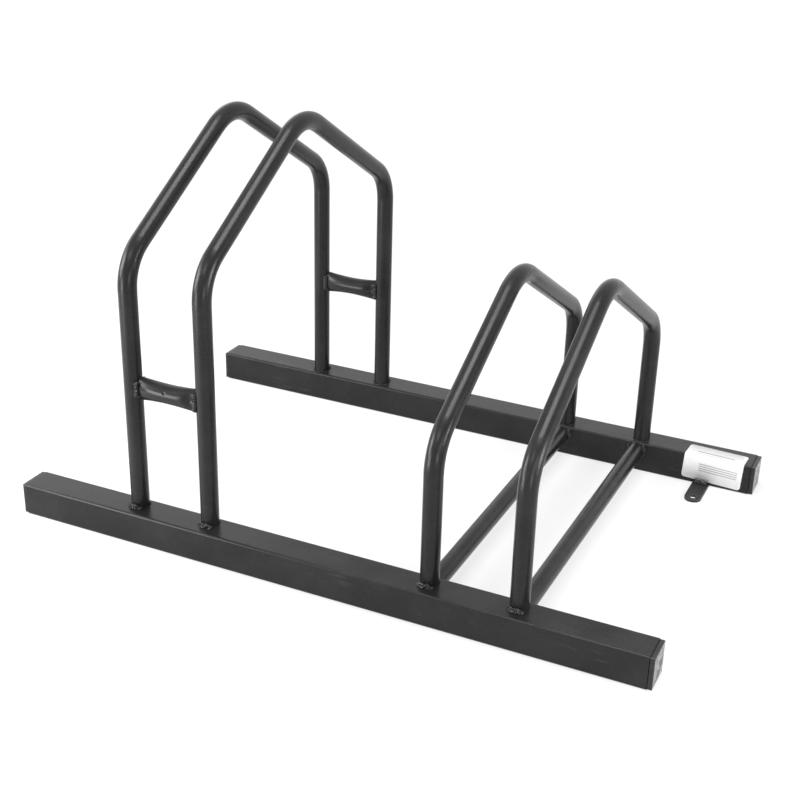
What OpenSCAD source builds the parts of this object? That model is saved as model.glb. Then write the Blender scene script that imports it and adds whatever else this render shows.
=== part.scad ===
// Floor stand for two bicycles.
// Two square rails lie on the floor and carry four hoops of round tube. A tall
// pair and a low pair each make a slot for one wheel. Two short pinched bars
// join the legs of the tall pair and hold that wheel off the floor.
// X runs along the rails, Y from the front rail to the rear one, Z is up.
// The origin is on the floor, midway along and midway between the rails.

/* [Rails] */
// Length of each square tube, without its end plugs
rail_length = 684; // [600:1:1200]
// Outer side of the square tube
rail_side = 35.5; // [30:0.5:50]
// Wall of the square tube
rail_wall = 1.5; // [1:0.1:2]
// Outer corner radius of the square tube
rail_corner_r = 2.5; // [2.2:0.1:4]
// Distance between the centre lines of the two rails
rail_spacing = 407; // [340:1:600]

/* [Hoop tube] */
// Outer diameter of the round tube
tube_d = 19; // [16:0.5:22]
// Wall of the round tube
tube_wall = 1.5; // [1:0.1:2.5]
// How far the legs stand inside the centre line of their rail
leg_inset = 4.5; // [0:0.5:5]
// Centre line radius of the two shoulder bends of a hoop
shoulder_bend_r = 50; // [35:1:60]
// Centre line radius of the bend at the top of a hoop
top_bend_r = 62; // [35:1:80]

/* [Tall hoops] */
// Height above the rails where leg and slope would meet without a bend
tall_shoulder_h = 265; // [220:5:400]
// Rise of the slope from that corner to the corner at the top
tall_rise = 116; // [90:1:150]
// From the left end of the stand to the outer tall hoop
tall_end_gap = 137; // [60:1:180]
// Distance between the two tall hoops
tall_hoop_spacing = 85; // [70:1:110]

/* [Low hoops] */
// Height above the rails where leg and slope would meet without a bend
low_shoulder_h = 145; // [100:5:215]
// Rise of the slope from that corner to the corner at the top
low_rise = 111; // [90:1:150]
// From the right end of the stand to the outer low hoop
low_end_gap = 135.5; // [110:0.5:180]
// Distance between the two low hoops
low_hoop_spacing = 91.5; // [70:0.5:110]

/* [Wheel bars] */
// Height of the front bar's axis above the rails
front_bar_h = 135; // [60:1:170]
// Height of the rear bar's axis above the rails
rear_bar_h = 121; // [60:1:170]
// Height of a bar at its pinched ends
bar_end_h = 26; // [20:0.5:28]
// Thickness of a bar at its pinched ends
bar_end_t = 10.5; // [9:0.5:16]
// Diameter of a bar at its middle
bar_mid_d = 20; // [16:0.5:21]
// Diameter of the drain hole in the front bar
drain_hole_d = 3; // [2:0.5:5]
// Turn of the drain hole up from the bar's front
drain_hole_turn = 25; // [0:5:90]

/* [Floor tubes] */
// Diameter of the two tubes that join the rails under the low hoops
floor_tube_d = 19; // [16:0.5:22]
// How far the top of these tubes lies below the top of the rails
floor_tube_drop = 0.5; // [0:0.5:6]
// How far these tubes lie to the left of the low hoops
floor_tube_shift = 1.8; // [0:0.1:3]

/* [End plugs] */
// Thickness of the square cap that shows
plug_cap_t = 5; // [3:0.5:8]
// How far the cap stays inside the outline of the rail, all round
plug_inset = 0.6; // [0:0.1:1]
// Corner radius of the cap
plug_corner_r = 2; // [0.8:0.1:3]
// Bevel round the outer face of the cap
plug_bevel = 0.8; // [0.4:0.1:1.5]
// Bevel round the inner face of the cap, which leaves a seam at the rail
plug_seam = 0.7; // [0.3:0.1:1.2]
// Diameter of the shallow dish in the cap
plug_dish_d = 26; // [16:1:26]
// Depth of that dish at its middle
plug_dish_depth = 1.2; // [0.5:0.1:2]
// Length of the part inside the tube
plug_insert_length = 18; // [12:1:30]
// Wall of that part
plug_insert_wall = 2; // [1.5:0.1:3]
// Reach of its fins
plug_fin_reach = 1.4; // [0.8:0.1:2]
// Thickness of one fin
plug_fin_t = 1.2; // [0.8:0.1:1.6]
// Number of fins
plug_fins = 4; // [2:1:5]
// Clearance between the fins and the tube
plug_fit = 0.15; // [0.1:0.05:0.3]

/* [Anchor tab] */
// Width of the strap
tab_width = 19; // [16:1:30]
// Thickness of the strap
tab_t = 2.5; // [2:0.5:4]
// From the rail to the middle of the screw hole
tab_reach = 37; // [25:1:60]
// Diameter of the screw hole
tab_hole_d = 7.5; // [4:0.5:8]
// From the right end of the stand to the middle of the strap
tab_end_gap = 58; // [35:1:80]

/* [Welds] */
// Radius of one drop of a weld bead
bead_r = 3; // [2:0.1:3.5]
// Distance between two drops along a bead
bead_step = 3.2; // [2:0.1:4]
// Leg of the smooth fillet welds
fillet_leg = 3; // [2:0.5:5]
// Leg of the small fillet at the inner side of a hoop's foot
foot_fillet_leg = 1.2; // [0.8:0.1:1.2]
// Leg of the fillet weld on the anchor tab
tab_fillet_leg = 5; // [3:0.5:7]
// Length of the fillet weld on the anchor tab
tab_fillet_length = 14; // [8:1:16]

/* [Hidden] */
$fn = 48;

// Overrun of every cut
cut = 1;

// Places along the rails
stand_end_x = rail_length / 2 + plug_cap_t;
tall_outer_x = -stand_end_x + tall_end_gap;
tall_inner_x = tall_outer_x + tall_hoop_spacing;
low_outer_x = stand_end_x - low_end_gap;
low_inner_x = low_outer_x - low_hoop_spacing;
tab_x = stand_end_x - tab_end_gap;

// Places across the rails
rail_y = rail_spacing / 2;
rail_inner_y = rail_y - rail_side / 2;
leg_y = rail_y - leg_inset;

tube_r = tube_d / 2;
// How much fuller a bend is than the straight tube, all round
bend_swell = 0.05;
// How far a straight run reaches into the wall of a bend
bend_lap = 1;
floor_tube_r = floor_tube_d / 2;
floor_tube_z = rail_side - floor_tube_drop - floor_tube_r;

// The inside of the square tube and the plug that fits in it
rail_bore = rail_side - 2 * rail_wall;
rail_bore_corner_r = rail_corner_r - rail_wall;
plug_fin_side = rail_bore - 2 * plug_fit;
plug_core_side = plug_fin_side - 2 * plug_fin_reach;
plug_fin_pitch = plug_insert_length / (plug_fins + 1);
plug_side = rail_side - 2 * plug_inset;
// Radius of the ball that a dish of this width and depth is cut with
plug_dish_r = (pow(plug_dish_d / 2, 2) + pow(plug_dish_depth, 2)) / (2 * plug_dish_depth);

// Shape of the pinched bars: stations along a bar and points round a section
bar_stations = 24;
bar_points = 24;
// How suddenly the bar swells toward its ends
bar_pinch_power = 1.9;
// Share of the thickness that a dent takes where it is deepest
bar_dent_share = 0.28;
bar_gap = tall_hoop_spacing - tube_d;

// Weld beads: drops in one bead, where they lie and how far they turn
foot_bead_drops = 5;
// Share of a drop's radius that its middle lies outside the tube
foot_bead_share = 0.3;
foot_bead_turn = bead_step / (tube_r + bead_r * foot_bead_share) * 180 / PI;
// How far a foot bead is turned from the outer side toward the left end
foot_bead_start = 8;
// Size and height of the drops above them on the leg, as shares of a drop's radius
foot_bead_top_share = 0.8;
foot_bead_lift_share = 0.9;
bead_top_r = bead_r * foot_bead_top_share;
// Share of the radius by which the centres of these drops lie outside the leg
foot_bead_top_out_share = 0.4;
// Turn that the fillet covers at the inner side of a foot
foot_fillet_turn = 130;
// Turn that a smooth weld covers on each side of a floor tube
floor_weld_turn = 100;
bar_bead_drops = 5;
// Share of a drop's radius that its middle lies outside leg and bar
bar_bead_share = 0.2;

// ---- Shared shapes

module rounded_square(side, r) {
    square([side, side - 2 * r], center = true);
    square([side - 2 * r, side], center = true);
    for (x = [-1, 1], y = [-1, 1])
        translate([x * (side / 2 - r), y * (side / 2 - r)]) circle(r = r);
}

// A profile drawn in a plane is carried along +X, its first axis along +Y
module along_x(length) {
    rotate([90, 0, 90]) linear_extrude(length) children();
}

module rail_block(side) {
    translate([-rail_length / 2, side * rail_y, rail_side / 2])
        along_x(rail_length) rounded_square(rail_side, rail_corner_r);
}

module rail(side) {
    color("#2b2c2e")
    translate([-rail_length / 2, side * rail_y, rail_side / 2])
        along_x(rail_length) difference() {
            rounded_square(rail_side, rail_corner_r);
            rounded_square(rail_bore, rail_bore_corner_r);
        }
}

module tube_ring(swell) {
    difference() {
        circle(r = tube_r + swell);
        circle(r = tube_r - tube_wall - swell);
    }
}

// A straight run of tube along +Z. It reaches into the wall of the bends at its
// ends, and what follows it starts at its end.
module run(length, before, after) {
    translate([0, 0, -before]) linear_extrude(length + before + after) tube_ring(0);
    translate([0, 0, length]) children();
}

// A bend of the tube toward +Y, a hair fuller than the straight tube
module bend(r, turn) {
    translate([0, r, 0]) rotate([90, 0, -90])
        rotate_extrude(angle = turn) translate([r, 0]) tube_ring(bend_swell);
    translate([0, r, 0]) rotate([-turn, 0, 0]) translate([0, -r, 0]) children();
}

// One hoop, bent from one tube in the plane x = 0: leg, shoulder, slope, top,
// slope, shoulder and leg, from the front rail over to the rear one
module bent_hoop(shoulder_h, rise) {
    slope_angle = atan2(rise, leg_y);
    shoulder_turn = 90 - slope_angle;
    shoulder_run = shoulder_bend_r * tan(shoulder_turn / 2);
    top_run = top_bend_r * tan(slope_angle);
    slope_length = norm([leg_y, rise]) - shoulder_run - top_run;
    leg_length = shoulder_h - shoulder_run;
    translate([0, -leg_y, rail_side])
        run(leg_length, 0, bend_lap) bend(shoulder_bend_r, shoulder_turn)
        run(slope_length, bend_lap, bend_lap) bend(top_bend_r, 2 * slope_angle)
        run(slope_length, bend_lap, bend_lap) bend(shoulder_bend_r, shoulder_turn)
        run(leg_length, bend_lap, 0);
}

module tall_hoop(x) {
    color("#2a2b2d") translate([x, 0, 0]) bent_hoop(tall_shoulder_h, tall_rise);
}

module low_hoop(x) {
    color("#2a2b2d") translate([x, 0, 0]) bent_hoop(low_shoulder_h, low_rise);
}

// ---- Pinched wheel bars

// 0 at the middle of a bar, 1 where it meets the legs and beyond
function bar_pinch(x) = min(1, pow(abs(x) / (bar_gap / 2), bar_pinch_power));

// Half height and half thickness of the bar at x, inset by the wall
function bar_half_h(x, inset) =
    bar_mid_d / 2 + (bar_end_h - bar_mid_d) / 2 * bar_pinch(x) - inset;
function bar_half_t(x, inset) =
    bar_mid_d / 2 + (bar_end_t - bar_mid_d) / 2 * bar_pinch(x) - inset;

// A dent in both flat sides, deepest shortly before the ends of the bar
function bar_dent(x, turn) =
    1 - bar_dent_share * 4 * bar_pinch(x) * (1 - bar_pinch(x)) * pow(abs(cos(turn)), 6);

function bar_section(x, inset) = [
    for (i = [0 : bar_points - 1])
        let (turn = 360 * i / bar_points)
        [x,
         bar_half_t(x, inset) * cos(turn) * bar_dent(x, turn),
         bar_half_h(x, inset) * sin(turn)]
];

function bar_station_x(i, reach) = -reach + 2 * reach * i / bar_stations;

module bar_body(inset, reach) {
    stations = bar_stations + 1;
    points = [for (i = [0 : bar_stations])
                  each bar_section(bar_station_x(i, reach), inset)];
    sides = [for (i = [0 : stations - 2], j = [0 : bar_points - 1])
                 let (k = (j + 1) % bar_points,
                      a = i * bar_points + j, b = i * bar_points + k,
                      c = a + bar_points, d = b + bar_points)
                 each [[a, c, b], [b, c, d]]];
    first = [for (j = [0 : bar_points - 1]) j];
    last = [for (j = [bar_points - 1 : -1 : 0]) (stations - 1) * bar_points + j];
    polyhedron(points = points, faces = concat(sides, [first, last]));
}

// The two legs that a bar is fitted between, as solid rods
module bar_legs() {
    for (side = [-1, 1])
        translate([side * tall_hoop_spacing / 2, 0, -bar_end_h])
            cylinder(r = tube_r, h = 2 * bar_end_h);
}

module at_bar(side, height) {
    translate([(tall_outer_x + tall_inner_x) / 2, side * leg_y, rail_side + height])
        children();
}

module pinched_bar() {
    difference() {
        bar_body(0, tall_hoop_spacing / 2);
        bar_body(tube_wall, tall_hoop_spacing / 2 + cut);
        bar_legs();
    }
}

module front_wheel_bar() {
    color("#2c2d2f") at_bar(-1, front_bar_h) difference() {
        pinched_bar();
        rotate([90 - drain_hole_turn, 0, 0]) cylinder(d = drain_hole_d, h = bar_mid_d);
    }
}

module rear_wheel_bar() {
    color("#2c2d2f") at_bar(1, rear_bar_h) pinched_bar();
}

// ---- Floor tubes

module floor_tube(x) {
    color("#2a2b2d") difference() {
        translate([x - floor_tube_shift, -rail_y, floor_tube_z]) rotate([-90, 0, 0])
            linear_extrude(rail_spacing) difference() {
                circle(r = floor_tube_r);
                circle(r = floor_tube_r - tube_wall);
            }
        rail_block(-1);
        rail_block(1);
    }
}

// ---- End plugs

// Cuts a bevel round the face of the cap at x that looks toward +X
module cap_bevel(x, size) {
    for (turn = [0 : 90 : 270]) rotate([turn, 0, 0])
        translate([x, -rail_side, plug_side / 2])
            rotate([0, 45, 0]) translate([-size / sqrt(2), 0, -size / sqrt(2)])
                cube([rail_side, 2 * rail_side, rail_side]);
}

// One plug that closes a tube end at x = 0, with its cap toward +X
module end_plug() {
    difference() {
        along_x(plug_cap_t) rounded_square(plug_side, plug_corner_r);
        cap_bevel(plug_cap_t, plug_bevel);
        mirror([1, 0, 0]) cap_bevel(0, plug_seam);
        translate([plug_cap_t - plug_dish_depth + plug_dish_r, 0, 0])
            sphere(r = plug_dish_r, $fn = 96);
    }
    translate([-plug_insert_length, 0, 0]) difference() {
        union() {
            along_x(plug_insert_length) square(plug_core_side, center = true);
            for (i = [1 : plug_fins])
                translate([i * plug_fin_pitch - plug_fin_t / 2, 0, 0])
                    along_x(plug_fin_t) rounded_square(plug_fin_side, rail_bore_corner_r);
        }
        translate([-cut, 0, 0]) along_x(plug_insert_length + cut)
            square(plug_core_side - 2 * plug_insert_wall, center = true);
    }
}

module plug(end, side) {
    color("#1d1e20")
    translate([end * rail_length / 2, side * rail_y, rail_side / 2])
        mirror([end < 0 ? 1 : 0, 0, 0]) end_plug();
}

// ---- Anchor tab on the rear rail

module anchor_tab() {
    color("#2b2c2e") difference() {
        translate([tab_x, rail_inner_y, 0]) linear_extrude(tab_t) {
            translate([-tab_width / 2, -tab_reach])
                square([tab_width, tab_reach + rail_corner_r]);
            translate([0, -tab_reach]) circle(d = tab_width);
        }
        translate([tab_x, rail_inner_y - tab_reach, -cut])
            cylinder(d = tab_hole_d, h = tab_t + 2 * cut);
        rail_block(1);
    }
}

// ---- Welds

// Section of a smooth fillet weld in the corner at the origin
module fillet_section(leg) {
    intersection() {
        translate([-leg, -leg]) circle(r = leg * sqrt(5));
        translate([-cut, -cut]) square(leg + cut);
    }
}

// Smooth fillet in a corner that is open toward +X and +Y
module corner_fillet(leg) {
    intersection() {
        fillet_section(leg);
        square(leg);
    }
}

module drop(r) {
    sphere(r = r, $fn = 24);
}

// Drops in an arc round the outer side of a leg's foot
module foot_drops(x, side, drops, out, lift, r) {
    for (i = [0 : drops - 1])
        translate([x, side * leg_y, rail_side + lift])
            rotate([0, 0, side * (90 + foot_bead_start) + (i - (drops - 1) / 2) * foot_bead_turn])
                translate([tube_r + out, 0, 0]) drop(r);
}

// A bead of drops on the rail with smaller ones above them on the leg
module foot_bead(x, side) {
    foot_drops(x, side, foot_bead_drops, bead_r * foot_bead_share, 0, bead_r);
    foot_drops(x, side, foot_bead_drops - 2, bead_top_r * foot_bead_top_out_share,
        bead_r * foot_bead_lift_share, bead_top_r);
}

// A small smooth fillet round the inner side of a leg's foot
module foot_fillet(x, side) {
    translate([x, side * leg_y, rail_side])
        rotate([0, 0, -side * 90 - foot_fillet_turn / 2])
            rotate_extrude(angle = foot_fillet_turn)
                translate([tube_r, 0]) corner_fillet(foot_fillet_leg);
}

module foot_welds(places, side) {
    color("#333436") difference() {
        for (x = places) foot_bead(x, side);
        rail_block(side);
        for (x = places)
            translate([x, side * leg_y, 0]) cylinder(r = tube_r, h = 2 * rail_side);
    }
    color("#333436") for (x = places) foot_fillet(x, side);
}

// The space that the flattened ends of a bar take up, as a plain block
module bar_end_block() {
    translate([-tall_hoop_spacing / 2, -bar_end_t / 2, -bar_end_h / 2])
        cube([tall_hoop_spacing, bar_end_t, bar_end_h]);
}

// Drops up the corner between a leg and the flat side of a bar's end
module bar_bead() {
    out = bead_r * bar_bead_share;
    drop_y = bar_end_t / 2 + out;
    drop_x = tall_hoop_spacing / 2 - sqrt(pow(tube_r + out, 2) - pow(drop_y, 2));
    for (end = [-1, 1], face = [-1, 1], i = [0 : bar_bead_drops - 1])
        translate([end * drop_x, face * drop_y, (i - (bar_bead_drops - 1) / 2) * bead_step])
            drop(bead_r);
}

module bar_welds(side, height) {
    color("#333436") at_bar(side, height) difference() {
        bar_bead();
        bar_legs();
        bar_end_block();
    }
}

// Smooth welds on both sides of a floor tube where it meets a rail
module floor_tube_weld(x, side) {
    translate([x - floor_tube_shift, side * rail_inner_y, floor_tube_z])
        mirror([0, side > 0 ? 1 : 0, 0]) rotate([-90, 0, 0])
            for (face = [0, 180]) rotate([0, 0, face - floor_weld_turn / 2])
                rotate_extrude(angle = floor_weld_turn)
                    translate([floor_tube_r, 0]) corner_fillet(fillet_leg);
}

module floor_tube_welds(side) {
    color("#333436")
        for (x = [low_inner_x, low_outer_x]) floor_tube_weld(x, side);
}

module anchor_tab_weld() {
    color("#333436") difference() {
        translate([tab_x - tab_fillet_length / 2, rail_inner_y, tab_t])
            along_x(tab_fillet_length) mirror([1, 0]) intersection() {
                fillet_section(tab_fillet_leg);
                translate([-cut, 0]) square(tab_fillet_leg + cut);
            }
        rail_block(1);
    }
}

rail(-1);  // front_rail
rail(1);  // rear_rail
tall_hoop(tall_outer_x);  // tall_hoop_outer
tall_hoop(tall_inner_x);  // tall_hoop_inner
low_hoop(low_inner_x);  // low_hoop_inner
low_hoop(low_outer_x);  // low_hoop_outer
front_wheel_bar();
rear_wheel_bar();
floor_tube(low_inner_x);  // floor_tube_inner
floor_tube(low_outer_x);  // floor_tube_outer
plug(-1, -1);  // plug_front_left
plug(1, -1);  // plug_front_right
plug(-1, 1);  // plug_rear_left
plug(1, 1);  // plug_rear_right
anchor_tab();
foot_welds([tall_outer_x, tall_inner_x], -1);  // tall_front_foot_welds
foot_welds([tall_outer_x, tall_inner_x], 1);  // tall_rear_foot_welds
foot_welds([low_inner_x, low_outer_x], -1);  // low_front_foot_welds
foot_welds([low_inner_x, low_outer_x], 1);  // low_rear_foot_welds
bar_welds(-1, front_bar_h);  // front_bar_welds
bar_welds(1, rear_bar_h);  // rear_bar_welds
floor_tube_welds(-1);  // floor_tube_front_welds
floor_tube_welds(1);  // floor_tube_rear_welds
anchor_tab_weld();
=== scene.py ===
"""Finishes, weld beads, blank sticker and studio stage of the floor rack for two bicycles."""

import math

import bmesh
import bpy
from mathutils import Matrix, Vector, noise


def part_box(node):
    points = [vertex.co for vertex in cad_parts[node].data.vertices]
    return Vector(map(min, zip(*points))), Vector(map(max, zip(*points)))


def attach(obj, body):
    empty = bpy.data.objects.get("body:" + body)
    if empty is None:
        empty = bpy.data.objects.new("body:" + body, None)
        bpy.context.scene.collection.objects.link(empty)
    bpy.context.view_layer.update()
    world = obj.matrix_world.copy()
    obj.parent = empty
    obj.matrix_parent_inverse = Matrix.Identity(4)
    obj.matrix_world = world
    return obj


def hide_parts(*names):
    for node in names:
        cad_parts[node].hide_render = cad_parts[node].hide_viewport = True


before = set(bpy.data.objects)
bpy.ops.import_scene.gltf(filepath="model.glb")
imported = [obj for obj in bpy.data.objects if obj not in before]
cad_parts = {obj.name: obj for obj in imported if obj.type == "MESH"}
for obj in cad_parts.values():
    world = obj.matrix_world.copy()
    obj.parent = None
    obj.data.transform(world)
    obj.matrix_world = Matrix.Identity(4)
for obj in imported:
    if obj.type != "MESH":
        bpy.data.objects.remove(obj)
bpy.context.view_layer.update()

bl_info = {
    "name": "Floor Bike Rack Finishes",
    "version": (1, 0, 0),
    "blender": (4, 5, 0),
    "location": "3D View > Sidebar > Floor Rack",
    "description": "Powder coat, weld beads, end plugs, sticker and stage of a floor bike rack",
    "category": "Object",
}

RAILS = ("front_rail", "rear_rail")
HOOPS = ("tall_hoop_outer", "tall_hoop_inner", "low_hoop_inner", "low_hoop_outer")
WHEEL_BARS = ("front_wheel_bar", "rear_wheel_bar")
FLOOR_TUBES = ("floor_tube_inner", "floor_tube_outer")
END_PLUGS = ("plug_front_left", "plug_front_right", "plug_rear_left", "plug_rear_right")
FOOT_WELDS = ("tall_front_foot_welds", "tall_rear_foot_welds", "low_front_foot_welds", "low_rear_foot_welds")
FLOOR_TUBE_WELDS = ("floor_tube_front_welds", "floor_tube_rear_welds")

# Metres, unless said otherwise
DOUBLES_DISTANCE = 1e-6
RAIL_CORNER = 0.0025

RUB_COLOUR = (0.07, 0.07, 0.072, 1)
# Settled dust, partly painted light: it makes faces that look up paler.
DUST_AND_TOP_LIGHT_COLOUR = (0.17, 0.165, 0.16, 1)
COAT_IOR = 1.34
SLAG_BUBBLES_PER_METRE = 620.0
WELD_BUBBLE_SHARE = 3.0

PLUG_BLACKS = ((0.011, 0.011, 0.012, 1), (0.02, 0.02, 0.021, 1))
# Pale swirls on the plugs' end faces: partly moulding swirls, partly a painted highlight that makes the end faces
# paler.
PLUG_SWIRL_AND_HIGHLIGHT_COLOUR = (0.19, 0.19, 0.192, 1)
# Rubbed rim of the plugs, partly a painted highlight along the rim.
PLUG_RIM_AND_HIGHLIGHT_COLOUR = (0.06, 0.06, 0.062, 1)
# Dust on the plugs' faces that look up, partly painted light that makes them paler.
PLUG_DUST_AND_TOP_LIGHT_COLOUR = (0.15, 0.15, 0.15, 1)
PLUG_RIM_WIDTH = 0.0006
PLUG_BUMP = 0.00003
PLUG_IOR = 1.38

# Wheel bars: rings along a bar, points round a ring, and where its dents lie (1 is the bar's end)
BAR_STEPS = 56
BAR_POINTS = 72
BAR_THINNING = 1.6
DENT_PLACE = 0.78
DENT_WIDTH = 0.14
# How much deeper a dent is below a bar's middle, and how much shallower above it
DENT_BELOW = 1.15
DENT_ABOVE = 0.8
# The drain hole is a pit; its reach and slope are shares of its diameter
HOLE_DEPTH = 0.0008
HOLE_REACH = 0.75
HOLE_SLOPE = 0.3

# Lumps on the beads: size and height of the small ones as shares of the large ones'
SMALL_LUMP_SIZE = 0.45
SMALL_LUMP_HEIGHT = 0.5
LUMP_BIAS = 0.15
TAB_LUMP_SIZE = 0.004
TAB_LUMP_HEIGHT = 0.0002

# Sticker: left, right, middle height and thickness of each rule on the flat paper
STICKER_RULES = (
    (0.012, 0.055, 0.0395, 0.0022), (0.012, 0.045, 0.0345, 0.0009),
    (0.018, 0.062, 0.0205, 0.0011), (0.018, 0.062, 0.0178, 0.0011),
    (0.018, 0.062, 0.0151, 0.0011), (0.018, 0.062, 0.0124, 0.0011),
)
STICKER_SHADE = (0.74, 0.74, 0.73, 1)
STICKER_BUMP = 0.00004
STICKER_GAP = 0.00005
STICKER_FOLD_STEPS = 8
STICKER_COLUMNS = 12

# Stage: camera sensor in millimetres, half side of the floor, where it fades out, and its lift to white
SENSOR_WIDTH = 36
FLOOR_HALF = 6
FLOOR_FADE = (0.9, 1.7)
FLOOR_LIFT = 0.6
# Name, place, aim, width, height and watts of each lamp
LAMPS = (
    ("Softbox left", (-1.9, -1.0, 0.85), (-0.1, 0, 0.1), 1.0, 1.1, 34),
    ("Softbox right", (2.1, 0.1, 0.6), (0.1, 0, 0.1), 0.8, 0.8, 26),
    ("Softbox above", (0.15, 0.0, 2.0), (0.15, 0, 0), 1.2, 0.35, 18),
    ("Reflector front left", (-0.65, -0.92, 0.17), (-0.1, 0, 0.12), 0.36, 0.34, 4.5),
    ("Floor lamp front", (-0.45, -0.52, 0.22), (-0.45, -0.52, 0), 0.25, 0.2, 1.0),
    ("Softbox front", (-0.1, -1.5, 1.9), (0, 0, 0.1), 1.2, 0.5, 8),
    ("Low fill right", (0.95, -1.1, 0.35), (0.3, 0.2, 0.02), 0.3, 0.3, 2.5),
    ("Panel behind", (-1.7, 1.7, 1.2), (-0.1, 0, 0), 1.0, 0.8, 2.0),
    ("Floor lamp left", (-0.85, -0.25, 0.5), (-0.85, -0.25, 0), 0.4, 0.7, 3),
    ("Floor lamp right", (0.6, -0.45, 0.4), (0.6, -0.45, 0), 0.4, 0.3, 1),
    ("Floor lamp behind", (0.0, 1.45, 0.38), (0.0, 1.45, 0), 1.8, 0.4, 5),
)


# ---------------------------------------------------------------- settings


class RackPaintSettings(bpy.types.PropertyGroup):
    """Colours and sizes of the powder coat."""

    paint: bpy.props.FloatVectorProperty(
        name="Paint", description="Colour of the powder coat", subtype="COLOR",
        size=4, min=0, max=1, default=(0.0072, 0.0072, 0.0074, 1))
    # This colour is also that of the painted glints of the fine tooth.
    thin_paint_and_glint: bpy.props.FloatVectorProperty(
        name="Thin paint", description="Colour where the coat is thin or rubbed", subtype="COLOR",
        size=4, min=0, max=1, default=(0.028, 0.028, 0.029, 1))
    # Painted highlight: this colour, far paler than the coat, paints a bright line along the edges, where the coat is
    # also thin.
    edge_highlight_paint: bpy.props.FloatVectorProperty(
        name="Edge highlight paint", description="Colour of the coat on sharp edges", subtype="COLOR",
        size=4, min=0, max=1, default=(0.16, 0.16, 0.163, 1))
    roughness: bpy.props.FloatProperty(
        name="Roughness", description="Mean roughness of the satin coat", subtype="FACTOR",
        min=0, max=1, default=0.27)
    peel_size: bpy.props.FloatProperty(
        name="Peel size", description="Width of one ripple of the orange peel", unit="LENGTH",
        min=0.0003, max=0.01, default=0.0016)
    peel_depth: bpy.props.FloatProperty(
        name="Peel depth", description="Height of the orange peel", unit="LENGTH",
        min=0, max=0.0005, default=0.000028, precision=6)
    # The edge radius also sets the width of the painted edge highlight.
    edge_radius: bpy.props.FloatProperty(
        name="Edge radius", description="Reach of the thin coat from an edge", unit="LENGTH",
        min=0.0001, max=0.01, default=0.0012)


class RackBarSettings(bpy.types.PropertyGroup):
    """Form of the pinched wheel bars between the tall hoops' legs; it is deeper than the CAD's."""

    leg_spacing: bpy.props.FloatProperty(
        name="Leg spacing", description="Between the middles of the two legs", unit="LENGTH", default=0.085)
    leg_radius: bpy.props.FloatProperty(
        name="Leg radius", description="To the middle of a leg's wall", unit="LENGTH", default=0.00875)
    middle: bpy.props.FloatProperty(
        name="Middle", description="Diameter of the round middle", unit="LENGTH", default=0.02)
    end_height: bpy.props.FloatProperty(
        name="End height", description="Height of the pinched ends", unit="LENGTH", default=0.026)
    end_thickness: bpy.props.FloatProperty(
        name="End thickness", description="Thickness of the pinched ends", unit="LENGTH", default=0.0105)
    pinch: bpy.props.FloatProperty(
        name="Pinch", description="Power by which the section changes along the bar", min=1, max=4, default=1.9)
    dent: bpy.props.FloatProperty(
        name="Dent", description="Share of the thickness that a dent before an end takes", subtype="FACTOR",
        min=0, max=0.5, default=0.32)
    left_dent: bpy.props.FloatProperty(
        name="Left dent", description="Depth of a bar's left dent as a share of its right one", subtype="FACTOR",
        min=0, max=1, default=0.1)
    hole: bpy.props.FloatProperty(
        name="Drain hole", description="Diameter of the front bar's drain hole", unit="LENGTH", default=0.0019)
    hole_turn: bpy.props.FloatProperty(
        name="Hole turn", description="Turn of the drain hole up from the front", subtype="ANGLE",
        default=math.radians(25))


class RackWeldSettings(bpy.types.PropertyGroup):
    """Sizes of the weld beads' surface."""

    grain: bpy.props.FloatProperty(
        name="Grain", description="Mesh size of a bead", unit="LENGTH",
        min=0.0002, max=0.002, default=0.0004, precision=5)
    lump_size: bpy.props.FloatProperty(
        name="Lump size", description="Width of one lump on a bead", unit="LENGTH",
        min=0.0005, max=0.01, default=0.0022)
    lump_height: bpy.props.FloatProperty(
        name="Lump height", description="Height of a lump on a bead", unit="LENGTH",
        min=0, max=0.002, default=0.0008)
    swell: bpy.props.FloatProperty(
        name="Swell", description="How far a bead swells beyond its drops", unit="LENGTH",
        min=0, max=0.002, default=0.0005)


class RackStickerSettings(bpy.types.PropertyGroup):
    """Sizes and colours of the sticker that wraps over the rear rail's front top edge."""

    left: bpy.props.FloatProperty(
        name="Left", description="Left side of the sticker", unit="LENGTH", default=0.2665)
    width: bpy.props.FloatProperty(
        name="Width", description="Width of the sticker along the rail", unit="LENGTH", default=0.0675)
    drop: bpy.props.FloatProperty(
        name="Drop", description="How far the sticker hangs down the front face", unit="LENGTH", default=0.0285)
    lap: bpy.props.FloatProperty(
        name="Lap", description="How far the sticker lies on the top face", unit="LENGTH", default=0.0215)
    corner: bpy.props.FloatProperty(
        name="Corner", description="Radius of the sticker's corners", unit="LENGTH", default=0.0035)
    thickness: bpy.props.FloatProperty(
        name="Thickness", description="Thickness of the paper", unit="LENGTH", default=0.00016, precision=5)
    tilt: bpy.props.FloatProperty(
        name="Tilt", description="Turn of the sticker on the rail", subtype="ANGLE", default=math.radians(-2.6))
    paper: bpy.props.FloatVectorProperty(
        name="Paper", description="Colour of the paper", subtype="COLOR",
        size=4, min=0, max=1, default=(0.8, 0.8, 0.795, 1))
    rule: bpy.props.FloatVectorProperty(
        name="Rules", description="Colour of the printed blank rules", subtype="COLOR",
        size=4, min=0, max=1, default=(0.30, 0.30, 0.31, 1))


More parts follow.
